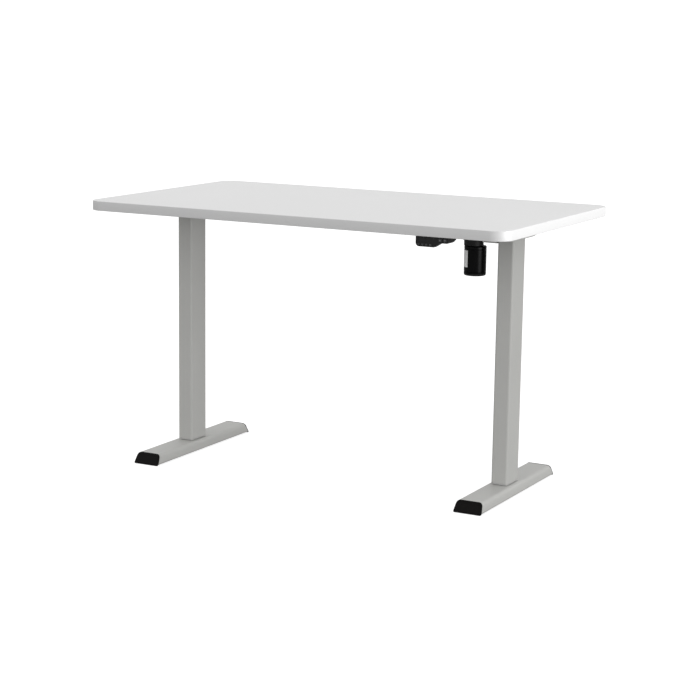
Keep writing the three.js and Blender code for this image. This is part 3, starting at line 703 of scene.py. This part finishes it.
def make_motor_end_cap(place, radius):
    """A moulded cap with a bearing boss in a shallow well, and a rounded rim."""
    low, high = size_of("motor_end_cap")
    boss, well, rim = 9.0, 12.5, 4.4
    profile = [(boss - 1, low.z + 0.6), (boss, low.z + 1.0), (boss, low.z + 2.0), (well, low.z + 2.0)]
    profile += [(well + 0.4, low.z + 0.4), (well + 1.0, low.z)]
    for angle in range(0, 91, 15):
        turn = math.radians(angle)
        profile.append((radius - rim + (rim - 0.1) * math.sin(turn), low.z + rim * (1 - math.cos(turn))))
    profile += [(radius - 0.1, high.z - 0.3), (radius - 0.4, high.z)]
    moulding = moved(turned(profile, 96), place)
    add_piece("motor_end_cap_moulding", [moulding], "black_plastic", TOP, ["motor_end_cap"])


def make_motor_label(middle, radius):
    """A plain label wrapped on the can's left side."""
    near, far = radius + LABEL["gap"], radius + LABEL["face"]
    section = [(near, LABEL["bottom"]), (far, LABEL["bottom"]), (far, LABEL["top"]), (near, LABEL["top"])]
    rings = []
    for i in range(LABEL["steps"] + 1):
        angle = math.radians(LABEL["start"] + (LABEL["end"] - LABEL["start"]) * i / LABEL["steps"])
        x, y = math.cos(angle), math.sin(angle)
        rings.append([(middle.x + r * x, middle.y + r * y, z) for r, z in section])
    add_piece("motor_label", [loft(rings)], "label", TOP)


def make_motor():
    """The can, its end cap with two long bolts, and its label."""
    low, high = size_of("motor_can")
    middle = middle_of("motor_can")
    radius = (high.x - low.x) / 2
    place = Matrix.Translation((middle.x, middle.y, 0))
    make_motor_can(place, radius)
    make_motor_end_cap(place, radius)
    dx = MOTOR_BOLT["reach"] * math.cos(MOTOR_BOLT["angle"])
    dy = MOTOR_BOLT["reach"] * math.sin(MOTOR_BOLT["angle"])
    z = size_of("motor_end_cap")[0].z + MOTOR_BOLT["sunk"]
    places = [(middle.x + way * dx, middle.y + way * dy, z) for way in (-1, 1)]
    add_fasteners("motor_cap_bolts", cross_screw(radius=2.6, height=1.8, socket=1.3), places, DOWN)
    make_motor_label(middle, radius)


# ---- control box ---------------------------------------------------------------------------------
RIB = {
    "count": 14, "pitch": 7.0, "wide": 3.0, "long": 46, "high": 1.4,
    "corner": 1.45, "ease": 0.5, "proud": 0.9,
}
BOX_SCREW_INSET = 9
EAR = {"inset": 8, "sheet": 2.45}


def make_rib(x, y, z):
    """A long rib with round ends, that hangs from the box's cover."""
    def outline(inset):
        wide, long = RIB["wide"] - 2 * inset, RIB["long"] - 2 * inset
        return rounded_rect(wide, long, RIB["corner"] - inset, (x, y), 4)

    rib = slab(outline, 0.0, RIB["high"], RIB["ease"], 3)
    return moved(rib, Matrix.Translation((0, 0, z - RIB["proud"])))


def make_box_details():
    """Cooling ribs and corner screws on the control box, and the screws through its ears."""
    low, high = size_of("control_box_cover")
    middle = (low + high) / 2
    offsets = [(i - (RIB["count"] - 1) / 2) * RIB["pitch"] for i in range(RIB["count"])]
    ribs = [make_rib(middle.x + offset, middle.y, low.z) for offset in offsets]
    add_piece("control_box_ribs", ribs, "black_plastic", TOP)
    inset = BOX_SCREW_INSET
    places = [(x, y, low.z) for x in (low.x + inset, high.x - inset) for y in (low.y + inset, high.y - inset)]
    add_fasteners("control_box_screws", cross_screw(radius=3.0, height=1.6, socket=1.5), places, DOWN)
    low, high = size_of("control_box_base")
    places = [(x, middle.y, high.z - EAR["sheet"]) for x in (low.x + EAR["inset"], high.x - EAR["inset"])]
    screw = cross_screw(radius=4.2, height=2.2, socket=2.2)
    add_fasteners("control_box_ear_screws", screw, places, DOWN)


# ---- handset -------------------------------------------------------------------------------------
MARK_THICK = 0.18
ARROW = {"half_width": 2.4, "base": 1.5, "tip": 2.0}
DOT = {"radius": 0.5, "pitch": 1.6}
RING_MARK = {"outer": 1.6, "inner": 1.1}


def raised(outline):
    return loft([level(outline, 0), level(outline, MARK_THICK)])


def arrow_mark(way):
    """A triangle that points up where way is 1, and down where it is -1."""
    half, base, tip = ARROW["half_width"], -ARROW["base"] * way, ARROW["tip"] * way
    return [raised([(-half, base), (half, base), (0, tip)])]


def ring_mark():
    outer, inner = circle(RING_MARK["outer"], 24), circle(RING_MARK["inner"], 24)
    rings = [level(outer, 0), level(outer, MARK_THICK), level(inner, MARK_THICK), level(inner, 0)]
    return [loft(rings, closed=True)]


def dot_marks(count):
    offsets = [(i - (count - 1) / 2) * DOT["pitch"] for i in range(count)]
    return [raised(circle(DOT["radius"], 16, (x, 0))) for x in offsets]


def make_key_marks():
    """Fine raised marks: arrows on the up and down keys, dots on the memory keys, a ring on the set key."""
    marks = {"up_button": arrow_mark(1), "down_button": arrow_mark(-1), "set_button": ring_mark()}
    for number in (1, 2, 3):
        marks[f"memory_{number}_button"] = dot_marks(number)
    for key in KEYS:
        low, high = size_of(key)
        middle = (low + high) / 2
        place = Matrix.Translation((middle.x, low.y, middle.z)) @ Matrix.Rotation(math.pi / 2, 4, "X")
        add_piece(f"{key}_mark", [moved(solid, place) for solid in marks[key]], "mark", key)


# ---- leads ---------------------------------------------------------------------------------------
MOTOR_LEAD = 2.5
HANDSET_LEAD = 1.8
MOTOR_ROUTE = [
    (374.067, -21.924, 626), (369.5, -13.5, 626.5), (362, -1, 631), (356.5, 7, 642),
    (354, 10.5, 660), (353, 13, 680), (352, 21, 690.3), (351, 34, 692),
    (350, 60, 692), (349, 92, 692), (345, 114, 690.5), (335, 127, 685),
    (322, 131.5, 678.5), (314, 132, 676.2), (307, 132, 676), (300.3, 132, 676),
]
HANDSET_ROUTE = [
    (400, -298.7, 692), (400, -286, 692.3), (393, -265, 692.8), (370, -236, 692.8),
    (346, -200, 692.8), (331, -160, 692.8), (325, -110, 692.8), (322, -50, 692.8),
    (317, 0, 692.8), (300, 40, 692.8), (286, 61, 691.3), (282.5, 67.5, 686.5),
    (280.5, 71.5, 681.8), (280, 76, 680.1), (280, 80, 680), (280, 84.7, 680),
]
# A clip's place under the board, the way its lead runs in degrees from +Y, and the lead's radius and drop.
CLIPS = (
    ((346, -200), 30, HANDSET_LEAD, 2.2),
    ((325, -110), 4, HANDSET_LEAD, 2.2),
    ((319, -20), 6, HANDSET_LEAD, 2.2),
    ((350, 60), 2, MOTOR_LEAD, 3.0),
)
CLIP = {"thick": 0.9, "ear": 7.5, "wide": 7.0, "slack": 0.25, "pressed_in": 0.02}
BOOT = {"collar": 1.6, "rings": 4, "first_ring": 2.6, "pitch": 2.4, "groove": 0.4, "end": 12.4}
MOTOR_BOOT = 5.0
HANDSET_BOOT = 4.2


def make_lead(node, route, radius):
    """A round sheath on a smooth curve through the route's points."""
    curve = bpy.data.curves.new(f"{node}_sheath", "CURVE")
    curve.dimensions = "3D"
    curve.bevel_depth = radius * MM
    curve.bevel_resolution = 4
    curve.resolution_u = 10
    curve.use_fill_caps = True
    spline = curve.splines.new("BEZIER")
    spline.bezier_points.add(len(route) - 1)
    for point, place in zip(spline.bezier_points, route):
        point.co = Vector(place) * MM
        point.handle_left_type = point.handle_right_type = "AUTO"
    curve.materials.append(MATERIAL["cable"])
    piece = bpy.data.objects.new(f"{node}_sheath", curve)
    bpy.context.scene.collection.objects.link(piece)
    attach(piece, TOP)
    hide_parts(node)


def boot(end, out, sunk, radius, lead):
    """A ribbed strain relief that tapers along a lead, from a collar sunk a little into a housing's wall.
    end is the lead's end there, and out the way that the lead leaves the wall."""
    widest, narrowest = radius * 0.8, lead + 0.7
    profile = [(radius, 0), (radius, BOOT["collar"]), (widest, BOOT["collar"] + 0.4)]
    for i in range(BOOT["rings"]):
        reach = widest + (narrowest - widest) * i / (BOOT["rings"] - 1)
        neck = reach - BOOT["groove"]
        z = BOOT["first_ring"] + BOOT["pitch"] * i
        profile += [(reach, z), (reach, z + 1.3), (neck, z + 1.6), (neck, z + 2.1)]
    profile += [(lead + 0.5, BOOT["end"]), (lead + 0.15, BOOT["end"] + 0.4)]
    return moved(turned(profile, 32), facing(Vector(end) - out.normalized() * sunk, out))


def clip(place, heading, lead, drop):
    """A saddle clip: two flat ears against the board and a bridge under the lead."""
    thick, ear, wide = CLIP["thick"], CLIP["ear"], CLIP["wide"]
    reach = lead + CLIP["slack"]
    inside = [(-ear, 0), (-reach, 0)] + arc((0, -drop), reach, 180, 360, 12) + [(reach, 0), (ear, 0)]
    outside = [(ear, -thick), (reach + thick, -thick)] + arc((0, -drop), reach + thick, 360, 180, 12)
    outside += [(-reach - thick, -thick), (-ear, -thick)]
    rings = [[(x, y, z) for x, z in inside + outside] for y in (-wide / 2, wide / 2)]
    turn = Matrix.Rotation(math.radians(heading), 4, "Z")
    return moved(loft(rings), Matrix.Translation((*place, UNDERSIDE - CLIP["pressed_in"])) @ turn)


def make_leads():
    """Both leads, the motor lead's gland, the plugs at the control box, and the clips under the board."""
    make_lead("motor_lead", MOTOR_ROUTE, MOTOR_LEAD)
    make_lead("handset_lead", HANDSET_ROUTE, HANDSET_LEAD)
    motor_out = Vector(MOTOR_ROUTE[1]) - Vector(MOTOR_ROUTE[0])
    gland = boot(MOTOR_ROUTE[0], motor_out, 0.6, MOTOR_BOOT, MOTOR_LEAD)
    add_piece("motor_lead_gland", [gland], "rubber", TOP)
    plug = boot(MOTOR_ROUTE[-1], Vector((1, 0, 0)), 0.3, MOTOR_BOOT, MOTOR_LEAD)
    add_piece("motor_lead_plug", [plug], "black_plastic", TOP)
    plug = boot(HANDSET_ROUTE[-1], Vector((0, -1, 0)), 0.3, HANDSET_BOOT, HANDSET_LEAD)
    add_piece("handset_lead_plug", [plug], "black_plastic", TOP)
    add_piece("lead_clips", [clip(*each) for each in CLIPS], "nylon", TOP)


# ---- the desk ------------------------------------------------------------------------------------
make_camera()
MATERIAL = make_materials()
make_floor()
make_studio()
dress_nodes()
make_desktop()
make_foot_caps()
make_foot_fixings()
make_bracket_fixings()
make_mount_fixings()
make_motor()
make_box_details()
make_key_marks()
make_leads()
